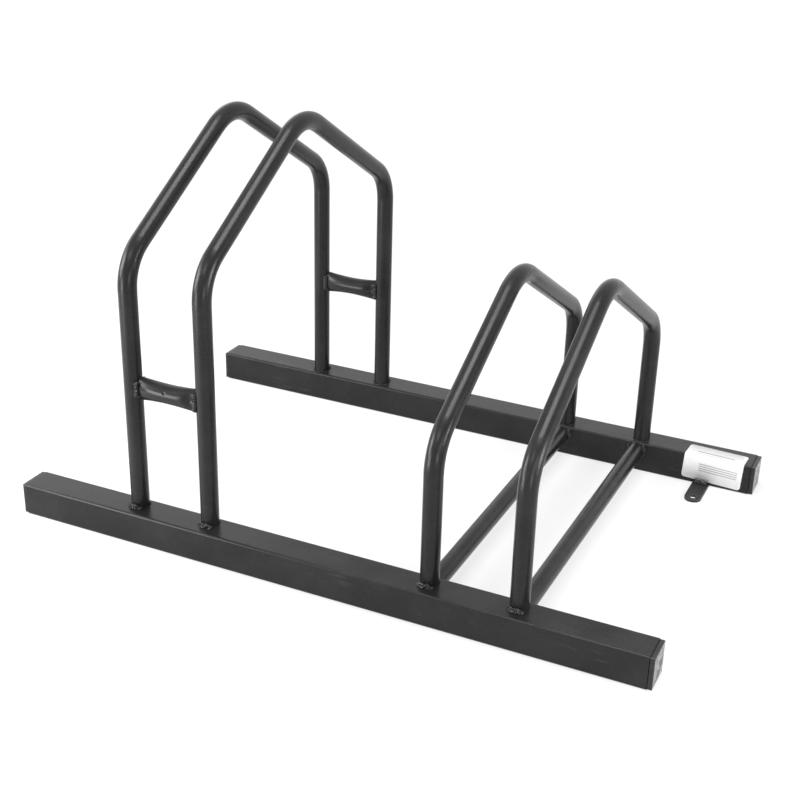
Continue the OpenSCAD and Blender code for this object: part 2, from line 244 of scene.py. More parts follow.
class RackStageSettings(bpy.types.PropertyGroup):
    """Camera, floor and lamps."""

    azimuth: bpy.props.FloatProperty(
        name="Azimuth", description="Turn of the camera about the rack", subtype="ANGLE",
        default=math.radians(24.728))
    elevation: bpy.props.FloatProperty(
        name="Elevation", description="Height of the camera as an angle", subtype="ANGLE",
        default=math.radians(24.868))
    roll: bpy.props.FloatProperty(
        name="Roll", description="Lean of the camera", subtype="ANGLE", default=math.radians(1.451))
    distance: bpy.props.FloatProperty(
        name="Distance", description="From the camera to its target", unit="LENGTH", default=1.49321)
    target: bpy.props.FloatVectorProperty(
        name="Target", description="Point that the camera looks at", subtype="TRANSLATION", unit="LENGTH",
        default=(-0.00748, 0.0, 0.11786))
    lens: bpy.props.FloatProperty(
        name="Lens", description="Focal length in millimetres on a 36 mm sensor", default=62.184)
    floor: bpy.props.FloatVectorProperty(
        name="Floor", description="Colour of the studio floor", subtype="COLOR",
        size=4, min=0, max=1, default=(0.93, 0.93, 0.93, 1))
    sky: bpy.props.FloatProperty(
        name="Sky", description="Strength of the even light from all round", min=0, max=2, default=0.42)


# ---------------------------------------------------------------- shader nodes


def add_node(tree, kind, x, y, label="", **settings):
    """Adds one node; settings are its own properties."""
    made = tree.nodes.new(kind)
    made.location = (x, y)
    made.label = label
    for name, value in settings.items():
        setattr(made, name, value)
    return made


def feed(tree, socket, value):
    """Links a socket to another, or sets it to a value."""
    if isinstance(value, bpy.types.NodeSocket):
        tree.links.new(value, socket)
    else:
        socket.default_value = value


def start_group(name, takes, gives):
    """Starts a node group with named inputs (name, type, default) and outputs (name, type)."""
    tree = bpy.data.node_groups.new(name, "ShaderNodeTree")
    for socket, kind, value in takes:
        made = tree.interface.new_socket(name=socket, in_out="INPUT", socket_type=kind)
        if value is not None:
            made.default_value = value
    for socket, kind in gives:
        tree.interface.new_socket(name=socket, in_out="OUTPUT", socket_type=kind)
    inside = add_node(tree, "NodeGroupInput", -900, 0)
    outside = add_node(tree, "NodeGroupOutput", 900, 0)
    return tree, inside.outputs, outside.inputs


def maths(tree, x, y, operation, first, second=0.0, third=0.0, label=""):
    """One step of arithmetic on numbers or sockets."""
    made = add_node(tree, "ShaderNodeMath", x, y, label, operation=operation)
    for socket, value in zip(made.inputs, (first, second, third)):
        feed(tree, socket, value)
    return made.outputs[0]


def spread(tree, x, y, value, low, high, to_low=0.0, to_high=1.0, label=""):
    """Maps low..high to to_low..to_high with soft ends."""
    made = add_node(tree, "ShaderNodeMapRange", x, y, label, interpolation_type="SMOOTHSTEP")
    for socket, each in zip(made.inputs, (value, low, high, to_low, to_high)):
        feed(tree, socket, each)
    return made.outputs[0]


def mix_colours(tree, x, y, factor, first, second, label=""):
    """The first colour at factor 0, the second at 1."""
    made = add_node(tree, "ShaderNodeMix", x, y, label, data_type="RGBA")
    for index, value in ((0, factor), (6, first), (7, second)):
        feed(tree, made.inputs[index], value)
    return made.outputs[2]


def grain(tree, x, y, vector, scale, detail=2.0, rough=0.5, label=""):
    """Noise around 0.5."""
    made = add_node(tree, "ShaderNodeTexNoise", x, y, label)
    for name, value in (("Vector", vector), ("Scale", scale), ("Detail", detail), ("Roughness", rough)):
        feed(tree, made.inputs[name], value)
    return made.outputs["Fac"]


def twisted_grain(tree, x, y, vector, scale, detail, twist, label):
    """Noise around 0.5 whose waves are pulled into swirls."""
    made = add_node(tree, "ShaderNodeTexNoise", x, y, label)
    for name, value in (("Vector", vector), ("Scale", scale), ("Detail", detail), ("Distortion", twist)):
        feed(tree, made.inputs[name], value)
    return made.outputs["Fac"]


def powder_coat_group():
    """Satin powder coat: cloudy thickness, orange peel, a fine tooth with painted glints, and small nibs."""
    if "Powder coat" in bpy.data.node_groups:
        return bpy.data.node_groups["Powder coat"]
    tree, take, give = start_group(
        "Powder coat",
        [("Vector", "NodeSocketVector", None), ("Paint", "NodeSocketColor", (0.02, 0.02, 0.02, 1)),
         ("Thin paint", "NodeSocketColor", (0.06, 0.06, 0.06, 1)), ("Peel size", "NodeSocketFloat", 0.0016),
         ("Roughness", "NodeSocketFloat", 0.4), ("Cloud", "NodeSocketFloat", 0.25),
         ("Nibs", "NodeSocketFloat", 0.5)],
        [("Color", "NodeSocketColor"), ("Roughness", "NodeSocketFloat"), ("Height", "NodeSocketFloat")])
    ripple = maths(tree, -700, 200, "DIVIDE", 1.0, take["Peel size"], label="Ripples per metre")
    tooth_scale = maths(tree, -700, 0, "MULTIPLY", ripple, 3.1)
    nib_scale = maths(tree, -700, -200, "MULTIPLY", ripple, 0.62)
    peel = grain(tree, -500, 300, take["Vector"], ripple, 2.0, 0.45, "Orange peel")
    tooth = grain(tree, -500, 100, take["Vector"], tooth_scale, 3.0, 0.6, "Fine tooth")
    cloud = grain(tree, -500, -100, take["Vector"], 16.0, 5.0, 0.55, "Coat thickness")
    streak = grain(tree, -500, -300, take["Vector"], 55.0, 3.0, 0.6, "Spray passes")
    nib = add_node(tree, "ShaderNodeTexVoronoi", -500, -500, "Nibs")
    feed(tree, nib.inputs["Vector"], take["Vector"])
    feed(tree, nib.inputs["Scale"], nib_scale)
    dot = spread(tree, -300, -500, nib.outputs["Distance"], 0.22, 0.08, label="Nib dots")
    rare = spread(tree, -300, -650, nib.outputs["Color"], 0.72, 0.8, label="Only some")
    nibs = maths(tree, -100, -500, "MULTIPLY", maths(tree, -200, -560, "MULTIPLY", dot, rare), take["Nibs"])
    thin = maths(tree, -100, -100, "MULTIPLY", spread(tree, -300, -100, cloud, 0.35, 0.7), take["Cloud"])
    thin = maths(tree, 50, -100, "ADD", thin,
                 maths(tree, -100, -250, "MULTIPLY", spread(tree, -300, -250, streak, 0.5, 0.72), 0.10))
    # Painted glints: specks of the fine tooth are made paler in colour.
    painted_glint = maths(tree, 50, 50, "MULTIPLY", spread(tree, -300, 60, tooth, 0.52, 0.7), 0.22, label="Painted tooth glint")
    pale = maths(tree, 200, -50, "ADD", maths(tree, 120, 0, "ADD", thin, painted_glint),
                 maths(tree, 50, -400, "MULTIPLY", nibs, 0.5))
    feed(tree, give["Color"], mix_colours(tree, 500, 100, pale, take["Paint"], take["Thin paint"]))
    uneven = maths(tree, 50, 250, "SUBTRACT", cloud, 0.5)
    rough = maths(tree, 200, 250, "MULTIPLY_ADD", uneven, 0.16, take["Roughness"])
    toothed = maths(tree, 50, 150, "SUBTRACT", tooth, 0.5)
    rough = maths(tree, 350, 250, "MULTIPLY_ADD", toothed, 0.2, rough)
    feed(tree, give["Roughness"], rough)
    height = maths(tree, 200, 450, "MULTIPLY_ADD", tooth, 0.35, maths(tree, 50, 450, "MULTIPLY", peel, 0.65))
    feed(tree, give["Height"], maths(tree, 350, 450, "MULTIPLY_ADD", nibs, 0.35, height))
    return tree


def edge_wear_and_highlight_group():
    """Mask of worn or thinly coated edges and of the painted highlight along them, broken up by noise; edges toward
    the X ends can be spared.
    """
    if "Edge wear" in bpy.data.node_groups:
        return bpy.data.node_groups["Edge wear"]
    tree, take, give = start_group(
        "Edge wear",
        [("Vector", "NodeSocketVector", None), ("Radius", "NodeSocketFloat", 0.001),
         ("Amount", "NodeSocketFloat", 0.5), ("Spare ends", "NodeSocketFloat", 0.0)],
        [("Mask", "NodeSocketFloat")])
    rounded = add_node(tree, "ShaderNodeBevel", -600, 200, "Rounded normal", samples=4)
    feed(tree, rounded.inputs["Radius"], take["Radius"])
    true = add_node(tree, "ShaderNodeNewGeometry", -600, 0)
    meet = add_node(tree, "ShaderNodeVectorMath", -400, 100, operation="DOT_PRODUCT")
    feed(tree, meet.inputs[0], rounded.outputs[0])
    feed(tree, meet.inputs[1], true.outputs["Normal"])
    edge = spread(tree, -200, 100, meet.outputs["Value"], 0.996, 0.91, label="Edge")
    broken = spread(tree, -200, -150, grain(tree, -400, -150, take["Vector"], 260.0, 4.0, 0.65), 0.4, 0.62)
    mask = maths(tree, 100, 50, "MULTIPLY", edge, maths(tree, 0, -100, "MULTIPLY_ADD", broken, 0.5, 0.5))
    lean = add_node(tree, "ShaderNodeSeparateXYZ", -400, 350)
    feed(tree, lean.inputs[0], rounded.outputs[0])
    sideways = maths(tree, -200, 350, "ABSOLUTE", lean.outputs["X"])
    end = spread(tree, 0, 350, sideways, 0.04, 0.15, label="Turns to an end")
    kept = maths(tree, 250, 350, "SUBTRACT", 1.0, maths(tree, 150, 300, "MULTIPLY", end, take["Spare ends"]))
    # The amount scales both the worn edges and the painted highlight along them.
    worn = maths(tree, 300, 50, "MULTIPLY", mask, take["Amount"])
    feed(tree, give["Mask"], maths(tree, 450, 50, "MULTIPLY", worn, kept))
    return tree


def handling_group():
    """Masks of faint rub marks and of settled dust on faces that look up; this dust also paints light on those top
    faces, making them paler.
    """
    if "Handling and dust" in bpy.data.node_groups:
        return bpy.data.node_groups["Handling and dust"]
    tree, take, give = start_group(
        "Handling and dust",
        [("Vector", "NodeSocketVector", None), ("Stretch", "NodeSocketVector", (1, 1, 1)),
         ("Rubs", "NodeSocketFloat", 0.5), ("Dust", "NodeSocketFloat", 0.3)],
        [("Rubs", "NodeSocketFloat"), ("Dust", "NodeSocketFloat")])
    laid = add_node(tree, "ShaderNodeVectorMath", -700, 100, "Along the piece", operation="MULTIPLY")
    feed(tree, laid.inputs[0], take["Vector"])
    feed(tree, laid.inputs[1], take["Stretch"])
    lines = grain(tree, -500, 150, laid.outputs[0], 320.0, 2.0, 0.5, "Rub lines")
    where = grain(tree, -500, -50, take["Vector"], 9.0, 3.0, 0.5, "Where it was held")
    rubs = maths(tree, -100, 100, "MULTIPLY", spread(tree, -300, 150, lines, 0.6, 0.72),
                 spread(tree, -300, -50, where, 0.48, 0.66))
    feed(tree, give["Rubs"], maths(tree, 200, 100, "MULTIPLY", rubs, take["Rubs"]))
    true = add_node(tree, "ShaderNodeNewGeometry", -700, -300)
    parts = add_node(tree, "ShaderNodeSeparateXYZ", -500, -300)
    feed(tree, parts.inputs[0], true.outputs["Normal"])
    # Faces that look up are made paler: partly dust, partly painted light on the top faces.
    up = spread(tree, -300, -300, parts.outputs["Z"], 0.35, 0.98, label="Looks up")
    fine = spread(tree, -300, -500, grain(tree, -500, -500, take["Vector"], 700.0, 4.0, 0.7), 0.45, 0.75)
    patch = spread(tree, -300, -700, grain(tree, -500, -700, take["Vector"], 24.0, 4.0, 0.6), 0.3, 0.7)
    dust_and_top_light = maths(tree, 0, -400, "MULTIPLY", up, maths(tree, -100, -500, "MULTIPLY_ADD", fine, 0.7, 0.3))
    dust_and_top_light = maths(tree, 100, -500, "MULTIPLY", dust_and_top_light, maths(tree, -100, -700, "MULTIPLY_ADD", patch, 0.6, 0.4))
    feed(tree, give["Dust"], maths(tree, 300, -400, "MULTIPLY", dust_and_top_light, take["Dust"]))
    return tree


def add_group(tree, x, y, group, **values):
    """Adds a node group; values are its inputs, with _ for each space in a name."""
    made = add_node(tree, "ShaderNodeGroup", x, y, group.name, node_tree=group)
    for name, value in values.items():
        feed(tree, made.inputs[name.replace("_", " ")], value)
    return made


def start_material(name):
    """An empty material with its shader and Object coordinates."""
    material = bpy.data.materials.new(name)
    material.use_nodes = True
    tree = material.node_tree
    tree.nodes.clear()
    surface = add_node(tree, "ShaderNodeBsdfPrincipled", 700, 0)
    output = add_node(tree, "ShaderNodeOutputMaterial", 1000, 0)
    tree.links.new(surface.outputs[0], output.inputs["Surface"])
    where = add_node(tree, "ShaderNodeTexCoord", -1100, 0)
    return material, tree, surface, where.outputs["Object"]


def powder_coat(name, stretch=(1, 1, 1), roughness=0.0, wear_and_highlight=0.6, rubs=0.5, dust_and_top_light=0.3, bubbles=0.0, ends=0.0):
    """The rack's black powder coat, made once for each kind of piece and found by its name after that."""
    if name in bpy.data.materials:
        return bpy.data.materials[name]
    own = bpy.context.scene.rack_paint
    material, tree, surface, where = start_material(name)
    coat = add_group(tree, -500, 100, powder_coat_group(), Vector=where, Paint=tuple(own.paint),
                     Thin_paint=tuple(own.thin_paint_and_glint), Peel_size=own.peel_size, Roughness=own.roughness + roughness)
    edge = add_group(tree, -500, -250, edge_wear_and_highlight_group(), Vector=where, Radius=own.edge_radius, Amount=wear_and_highlight,
                     Spare_ends=ends)
    touch = add_group(tree, -500, -450, handling_group(), Vector=where, Stretch=stretch, Rubs=rubs, Dust=dust_and_top_light)
    # Painted highlight: the edge mask mixes the pale edge colour in as a bright line along the edges.
    colour = mix_colours(tree, -150, 100, edge.outputs["Mask"],
                         coat.outputs["Color"], tuple(own.edge_highlight_paint), "Thin edge and painted highlight")
    colour = mix_colours(tree, 50, 100, maths(tree, -150, -450, "MULTIPLY", touch.outputs["Rubs"], 0.35),
                         colour, RUB_COLOUR, "Rub marks")
    # Dust on faces that look up, partly painted light that makes the top faces paler.
    colour = mix_colours(tree, 250, 100, maths(tree, -150, -600, "MULTIPLY", touch.outputs["Dust"], 0.25),
                         colour, DUST_AND_TOP_LIGHT_COLOUR, "Dust")
    feed(tree, surface.inputs["Base Color"], colour)
    rough = maths(tree, -150, -100, "MULTIPLY_ADD", edge.outputs["Mask"], -0.08, coat.outputs["Roughness"])
    rough = maths(tree, 50, -150, "MULTIPLY_ADD", touch.outputs["Rubs"], -0.12, rough)
    rough = maths(tree, 250, -150, "MULTIPLY_ADD", touch.outputs["Dust"], 0.2, rough)
    feed(tree, surface.inputs["Roughness"], rough)
    height = coat.outputs["Height"]
    if bubbles:
        bubble = add_node(tree, "ShaderNodeTexVoronoi", -500, -750, "Slag bubbles", feature="SMOOTH_F1")
        feed(tree, bubble.inputs["Vector"], where)
        bubble.inputs["Scale"].default_value = SLAG_BUBBLES_PER_METRE
        height = maths(tree, -150, -800, "MULTIPLY_ADD", bubble.outputs["Distance"], -bubbles, height)
    bump = add_node(tree, "ShaderNodeBump", 450, -350)
    bump.inputs["Strength"].default_value = 1.0
    bump.inputs["Distance"].default_value = own.peel_depth
    feed(tree, bump.inputs["Height"], height)
    feed(tree, surface.inputs["Normal"], bump.outputs[0])
    surface.inputs["IOR"].default_value = COAT_IOR
    return material


def plug_plastic():
    """Moulded black plastic: flow lines, pale swirls and a painted highlight on the end face, a rubbed rim with a
    painted highlight along it, and dust with painted light on faces that look up.
    """
    if "Plug plastic" in bpy.data.materials:
        return bpy.data.materials["Plug plastic"]
    material, tree, surface, where = start_material("Plug plastic")
    flow = twisted_grain(tree, -700, 200, where, 90.0, 3.0, 1.5, "Flow lines")
    edge = add_group(tree, -500, -250, edge_wear_and_highlight_group(), Vector=where, Radius=PLUG_RIM_WIDTH, Amount=0.7)
    touch = add_group(tree, -500, -450, handling_group(), Vector=where, Stretch=(1, 1, 1), Rubs=0.8, Dust=0.3)
    colour = mix_colours(tree, -150, 100, spread(tree, -400, 200, flow, 0.35, 0.65), *PLUG_BLACKS, "Moulded black")
    face = add_node(tree, "ShaderNodeSeparateXYZ", -900, 500)
    feed(tree, face.inputs[0], add_node(tree, "ShaderNodeNewGeometry", -1100, 500).outputs["Normal"])
    outer = spread(tree, -500, 500, maths(tree, -700, 500, "ABSOLUTE", face.outputs["X"]), 0.9, 0.99, label="End face")
    swirl = twisted_grain(tree, -700, 700, where, 70.0, 2.0, 3.0, "Swirls of the cap")
    # Painted highlight: the pale swirls make the whole end face paler, partly moulding swirls.
    pale = maths(tree, -300, 600, "MULTIPLY", outer, spread(tree, -500, 700, swirl, 0.42, 0.62, 0.15, 1.0))
    colour = mix_colours(tree, -50, 300, pale, colour, PLUG_SWIRL_AND_HIGHLIGHT_COLOUR, "Pale swirls and painted highlight")
    # Painted highlight along the rim, partly a rubbed rim.
    colour = mix_colours(tree, 50, 100, edge.outputs["Mask"], colour, PLUG_RIM_AND_HIGHLIGHT_COLOUR, "Rubbed rim and painted highlight")
    # Dust on faces that look up, partly painted light that makes them paler.
    colour = mix_colours(tree, 250, 100, maths(tree, -150, -600, "MULTIPLY", touch.outputs["Dust"], 0.4),
                         colour, PLUG_DUST_AND_TOP_LIGHT_COLOUR, "Dust")
    feed(tree, surface.inputs["Base Color"], colour)
    rough = maths(tree, -150, -100, "MULTIPLY_ADD", flow, 0.12, 0.2)
    rough = maths(tree, 50, -150, "MULTIPLY_ADD", touch.outputs["Rubs"], 0.2, rough)
    feed(tree, surface.inputs["Roughness"], rough)
    bump = add_node(tree, "ShaderNodeBump", 450, -350)
    bump.inputs["Distance"].default_value = PLUG_BUMP
    feed(tree, bump.inputs["Height"], maths(tree, 250, -400, "ADD", flow, touch.outputs["Rubs"]))
    feed(tree, surface.inputs["Normal"], bump.outputs[0])
    surface.inputs["IOR"].default_value = PLUG_IOR
    return material


# ---------------------------------------------------------------- pieces


def dress(nodes, material):
    """Gives CAD nodes a finish."""
    for name in nodes:
        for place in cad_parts[name].material_slots:
            place.material = material


def finish_piece(mesh, name, material, replaced=()):
    """Makes an object of a mesh that is already in its place, and lets it ride with the rack."""
    piece = bpy.data.objects.new(name, mesh)
    bpy.context.scene.collection.objects.link(piece)
    mesh.materials.clear()
    mesh.materials.append(material)
    mesh.shade_smooth()
    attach(piece, "root")
    if replaced:
        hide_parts(*replaced)
    return piece


def merged_copy(node):
    """A mesh of a CAD node with its doubles merged."""
    bm = bmesh.new()
    bm.from_mesh(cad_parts[node].data)
    bmesh.ops.remove_doubles(bm, verts=bm.verts, dist=DOUBLES_DISTANCE)
    mesh = bpy.data.meshes.new(node + "_copy")
    bm.to_mesh(mesh)
    bm.free()
    return mesh


def soften(bm, factor):
    """Moves each vertex toward the middle of its neighbours."""
    bmesh.ops.smooth_vert(bm, verts=bm.verts, factor=factor, use_axis_x=True, use_axis_y=True, use_axis_z=True)


def bubbly_bead(node, name, material, size, height, swell=0.0):
    """The node's weld beads again, as one run of metal with lumps and pits."""
    own = bpy.context.scene.rack_welds
    rough_form = bpy.data.objects.new(name + "_form", merged_copy(node))
    bpy.context.scene.collection.objects.link(rough_form)
    remesh = rough_form.modifiers.new("Fuse", "REMESH")
    remesh.mode = "VOXEL"
    remesh.voxel_size = own.grain
    seen = rough_form.evaluated_get(bpy.context.evaluated_depsgraph_get())
    mesh = bpy.data.meshes.new_from_object(seen)
    bpy.data.objects.remove(rough_form)
    bm = bmesh.new()
    bm.from_mesh(mesh)
    soften(bm, 0.5)
    bm.normal_update()
    for v in bm.verts:
        small = noise.noise(v.co / (size * SMALL_LUMP_SIZE) + Vector((5, 3, 1)))
        lump = noise.noise(v.co / size) + SMALL_LUMP_HEIGHT * small
        v.co += v.normal * (height * (lump - LUMP_BIAS) + swell)
    soften(bm, 0.35)
    bm.to_mesh(mesh)
    bm.free()
    return finish_piece(mesh, name, material, [node])


def weld_paint():
    """The coat over the beads, glossier and with slag bubbles."""
    return powder_coat("Powder coat on welds", roughness=-0.12, wear_and_highlight=0.0, rubs=0.2, dust_and_top_light=0.35,
                       bubbles=WELD_BUBBLE_SHARE)


def bar_paint():
    return powder_coat("Powder coat on wheel bars", stretch=(0.3, 1, 1), wear_and_highlight=0.2, rubs=0.9, dust_and_top_light=0.4)


def sort_parts(parts, place):
    """Sorts vertices, edges or faces; the mesh's own sort takes only a number as its key."""
    order = {part: number for number, part in enumerate(sorted(parts, key=place))}
    parts.sort(key=lambda part: order[part])


def put_in_order(bm):
    """Sorts a mesh by place, because extruding returns its parts in another order on each run."""
    sort_parts(bm.verts, lambda v: v.co[:])
    for parts in (bm.edges, bm.faces):
        sort_parts(parts, lambda part: sorted(v.co[:] for v in part.verts))


def pinched_bar(node, name, material, hole):
    """A bar between two legs: round middle, ends pressed flat, a dent before the right end, a faint one left."""
    own = bpy.context.scene.rack_bars
    low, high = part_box(node)
    middle = (Vector(low) + Vector(high)) / 2
    half = own.leg_spacing / 2
    bm = bmesh.new()
    across = Matrix.Rotation(math.pi / 2, 4, "Y")
    ring = bmesh.ops.create_circle(bm, segments=BAR_POINTS, radius=1, matrix=across)["verts"]
    turns = [math.atan2(v.co.z, v.co.y) for v in ring]
    edges = list({edge for v in ring for edge in v.link_edges})
    rows = [ring]
    for _ in range(BAR_STEPS):
        made = bmesh.ops.extrude_edge_only(bm, edges=edges)["geom"]
        verts = {v for v in made if isinstance(v, bmesh.types.BMVert)}
        edges = [e for e in made
                 if isinstance(e, bmesh.types.BMEdge) and e.verts[0] in verts and e.verts[1] in verts]
        rows.append([next(e.other_vert(v) for e in v.link_edges if e.other_vert(v) in verts) for v in rows[-1]])
    for step, row in enumerate(rows):
        share = 2 * step / BAR_STEPS - 1
        pinch = min(1.0, abs(share)) ** own.pinch
        tall = (own.middle + (own.end_height - own.middle) * pinch) / 2
        deep = (own.middle + (own.end_thickness - own.middle) * pinch ** BAR_THINNING) / 2
        dent = own.dent * (1 if share > 0 else own.left_dent)
        dent *= math.exp(-((abs(share) - DENT_PLACE) / DENT_WIDTH) ** 2)
        for v, turn in zip(row, turns):
            lower = turn * math.copysign(1, math.cos(turn)) < 0
            pressed = 1 - dent * math.cos(turn) ** 4 * (DENT_BELOW if lower else DENT_ABOVE)
            y, z = deep * math.cos(turn) * pressed, tall * math.sin(turn)
            end = half - math.sqrt(own.leg_radius ** 2 - y ** 2 * min(1.0, abs(share)))
            v.co = (middle.x + share * end, middle.y + y, middle.z + z)
    if hole:
        aim = Vector((0, -math.cos(own.hole_turn), math.sin(own.hole_turn)))
        for v in bm.verts:
            off = v.co - middle
            away = (off - aim * off.dot(aim)).length
            if off.dot(aim) > 0 and away < hole * HOLE_REACH:
                v.co -= aim * HOLE_DEPTH * min(1.0, (hole * HOLE_REACH - away) / (hole * HOLE_SLOPE))
    for row in (rows[0], rows[-1]):
        bmesh.ops.contextual_create(bm, geom=row)
    bmesh.ops.recalc_face_normals(bm, faces=bm.faces)
    put_in_order(bm)
    mesh = bpy.data.meshes.new(name)
    bm.to_mesh(mesh)
    bm.free()
    return finish_piece(mesh, name, material, [node])


class RACK_OT_rails(bpy.types.Operator):
    """Coats the two rails"""

    bl_idname = "rack.rails"
    bl_label = "Rails"

    def execute(self, context):
        dress(RAILS, powder_coat("Powder coat on rails", stretch=(0.12, 1, 1), wear_and_highlight=1.0, rubs=0.6, dust_and_top_light=0.5,
                                 ends=1.0))
        return {"FINISHED"}


class RACK_OT_hoops(bpy.types.Operator):
    """Coats the four bent hoops"""

    bl_idname = "rack.hoops"
    bl_label = "Hoops"

    def execute(self, context):
        dress(HOOPS, powder_coat("Powder coat on hoops", stretch=(1, 1, 0.2), wear_and_highlight=0.2, rubs=0.5, dust_and_top_light=0.3))
        return {"FINISHED"}


class RACK_OT_wheel_bars(bpy.types.Operator):
    """Models the two wheel bars with their round middles, pinched ends and soft dents; the front one has a hole"""

    bl_idname = "rack.wheel_bars"
    bl_label = "Wheel Bars"

    def execute(self, context):
        for node in WHEEL_BARS:
            hole = context.scene.rack_bars.hole if node == "front_wheel_bar" else 0
            pinched_bar(node, node.replace("wheel_bar", "pinched_bar"), bar_paint(), hole)
        return {"FINISHED"}


class RACK_OT_floor_tubes(bpy.types.Operator):
    """Coats the two floor tubes"""

    bl_idname = "rack.floor_tubes"
    bl_label = "Floor Tubes"

    def execute(self, context):
        dress(FLOOR_TUBES, powder_coat("Powder coat on floor tubes", stretch=(1, 0.15, 1), wear_and_highlight=0.2, rubs=0.8,
                                       dust_and_top_light=0.5))
        return {"FINISHED"}


class RACK_OT_end_plugs(bpy.types.Operator):
    """Gives the four end plugs their moulded plastic"""

    bl_idname = "rack.end_plugs"
    bl_label = "End Plugs"

    def execute(self, context):
        dress(END_PLUGS, plug_plastic())
        return {"FINISHED"}


class RACK_OT_anchor_tab(bpy.types.Operator):
    """Coats the anchor tab and its weld"""

    bl_idname = "rack.anchor_tab"
    bl_label = "Anchor Tab"

    def execute(self, context):
        dress(("anchor_tab",), powder_coat("Powder coat on tab", wear_and_highlight=1.0, rubs=0.8, dust_and_top_light=0.5))
        bubbly_bead("anchor_tab_weld", "anchor_tab_bead", weld_paint(), TAB_LUMP_SIZE, TAB_LUMP_HEIGHT)
        return {"FINISHED"}


class RACK_OT_foot_welds(bpy.types.Operator):
    """Models the bubbly beads at the hoops' feet"""

    bl_idname = "rack.foot_welds"
    bl_label = "Foot Welds"

    def execute(self, context):
        own = context.scene.rack_welds
        for node in FOOT_WELDS:
            bubbly_bead(node, node.replace("welds", "beads"), weld_paint(), own.lump_size, own.lump_height,
                        own.swell * 0.4)
        return {"FINISHED"}


class RACK_OT_bar_welds(bpy.types.Operator):
    """Models the beads at the wheel bars' ends: jagged in front, smooth under the bar's coat behind"""

    bl_idname = "rack.bar_welds"
    bl_label = "Bar Welds"

    def execute(self, context):
        own = context.scene.rack_welds
        bubbly_bead("front_bar_welds", "front_bar_beads", weld_paint(), own.lump_size * 0.75, own.lump_height * 1.3,
                    own.swell)
        bubbly_bead("rear_bar_welds", "rear_bar_beads", bar_paint(), own.lump_size * 1.5, own.lump_height * 0.4,
                    own.swell)
        return {"FINISHED"}


class RACK_OT_floor_tube_welds(bpy.types.Operator):
    """Models the beads at the floor tubes' ends"""

    bl_idname = "rack.floor_tube_welds"
    bl_label = "Floor Tube Welds"

    def execute(self, context):
        own = context.scene.rack_welds
        for node in FLOOR_TUBE_WELDS:
            bubbly_bead(node, node.replace("welds", "beads"), weld_paint(), own.lump_size, own.lump_height * 0.7)
        return {"FINISHED"}


def cut_mesh(bm, place, normal):
    """Cuts the whole mesh along a plane."""
    bmesh.ops.bisect_plane(bm, geom=bm.verts[:] + bm.edges[:] + bm.faces[:], plane_co=place, plane_no=normal)


def sticker_paper():
    """White coated paper, a little uneven, with a few blank grey rules."""
    own = bpy.context.scene.rack_sticker
    material, tree, surface, where = start_material("Sticker paper")
    flat = add_node(tree, "ShaderNodeUVMap", -1100, -300, "Flat sticker", uv_map="Flat")
    parts = add_node(tree, "ShaderNodeSeparateXYZ", -900, -300)
    feed(tree, parts.inputs[0], flat.outputs[0])
    rules = 0.0
    for step, (start, end, height, thick) in enumerate(STICKER_RULES):
        y = -300 - 160 * step
        across = maths(tree, -600, y, "COMPARE", parts.outputs["X"], (start + end) / 2, (end - start) / 2)
        along = maths(tree, -600, y - 60, "COMPARE", parts.outputs["Y"], height, thick / 2)
        rules = maths(tree, -400, y, "MULTIPLY_ADD", across, along, rules)
    fibre = grain(tree, -700, 300, where, 900.0, 4.0, 0.6, "Paper fibre")
    stain = grain(tree, -700, 100, where, 60.0, 3.0, 0.5, "Uneven white")
    paper = mix_colours(tree, -300, 200, spread(tree, -500, 100, stain, 0.3, 0.7, 0.0, 0.25),
                        tuple(own.paper), STICKER_SHADE, "Paper")
    ink = spread(tree, -500, 300, fibre, 0.3, 0.5, 0.6, 1.0)
    worn = maths(tree, -200, -300, "MULTIPLY", rules, ink, label="Printed")
    feed(tree, surface.inputs["Base Color"], mix_colours(tree, 0, 100, worn, paper, tuple(own.rule), "Rules"))
    feed(tree, surface.inputs["Roughness"], maths(tree, 0, -100, "MULTIPLY_ADD", fibre, 0.2, 0.3))
    bump = add_node(tree, "ShaderNodeBump", 300, -350)
    bump.inputs["Distance"].default_value = STICKER_BUMP
    feed(tree, bump.inputs["Height"], maths(tree, 100, -350, "MULTIPLY_ADD", fibre, 0.5, stain))
    feed(tree, surface.inputs["Normal"], bump.outputs[0])
    return material


